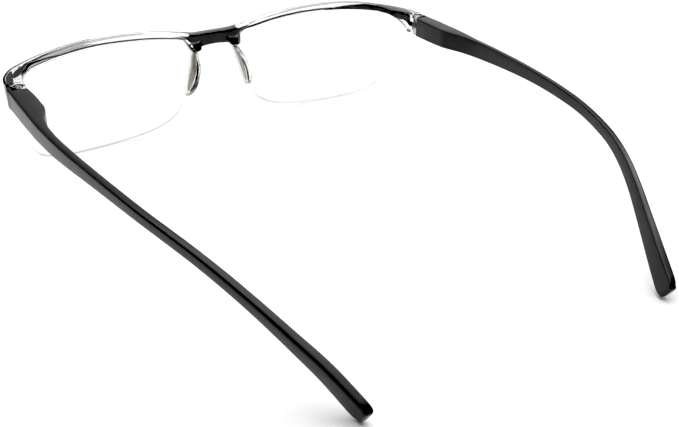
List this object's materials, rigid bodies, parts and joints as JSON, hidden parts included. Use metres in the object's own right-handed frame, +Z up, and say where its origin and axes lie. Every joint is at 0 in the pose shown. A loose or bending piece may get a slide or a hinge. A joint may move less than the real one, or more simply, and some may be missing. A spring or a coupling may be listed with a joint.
{
  "type": "half rim eyeglasses",
  "caption": "Half rim eyeglasses: a moulded brow bar carries rectangular lenses with bare lower edges, soft nose pads and folding temples.",
  "frame": {"origin": "centre of the bounding box, at the bottom plane through the lens bottoms and the temple tips", "axes": "+X towards the wearer's left, -Y forwards out of the lenses, +Y back along the temples, +Z up"},
  "size_m": [0.1394, 0.1568, 0.0346],
  "materials": {
    "clear_plastic": "clear gloss moulding, tinted gloss black over the bridge and end pieces",
    "lens_clear": "clear polished acrylic",
    "nylon_clear": "clear monofilament",
    "silicone_clear": "clear soft silicone",
    "temple_black": "black satin",
    "screw_steel": "turned steel",
    "insert_nickel": "nickel plated, turned"
  },
  "bodies": {
    "front": {"front_frame": "clear_plastic", "lens_left": "lens_clear", "lens_cord_left": "nylon_clear", "nose_pad_left": "silicone_clear", "hinge_screw_left": "screw_steel", "hinge_insert_left": "insert_nickel", "lens_right": "lens_clear", "lens_cord_right": "nylon_clear", "nose_pad_right": "silicone_clear", "hinge_screw_right": "screw_steel", "hinge_insert_right": "insert_nickel"},
    "temple_left": {"temple_left": "temple_black"},
    "temple_right": {"temple_right": "temple_black"}
  },
  "joints": [
    {"name": "temple_left_fold", "type": "hinge", "parent": "front", "child": "temple_left", "pos_m": [0.0663, -0.05708, 0.0278], "axis": [0, 0, 1], "range_deg": [0, 80]},
    {"name": "temple_right_fold", "type": "hinge", "parent": "front", "child": "temple_right", "pos_m": [-0.0663, -0.05708, 0.0278], "axis": [0, 0, -1], "range_deg": [0, 84]}
  ]
}
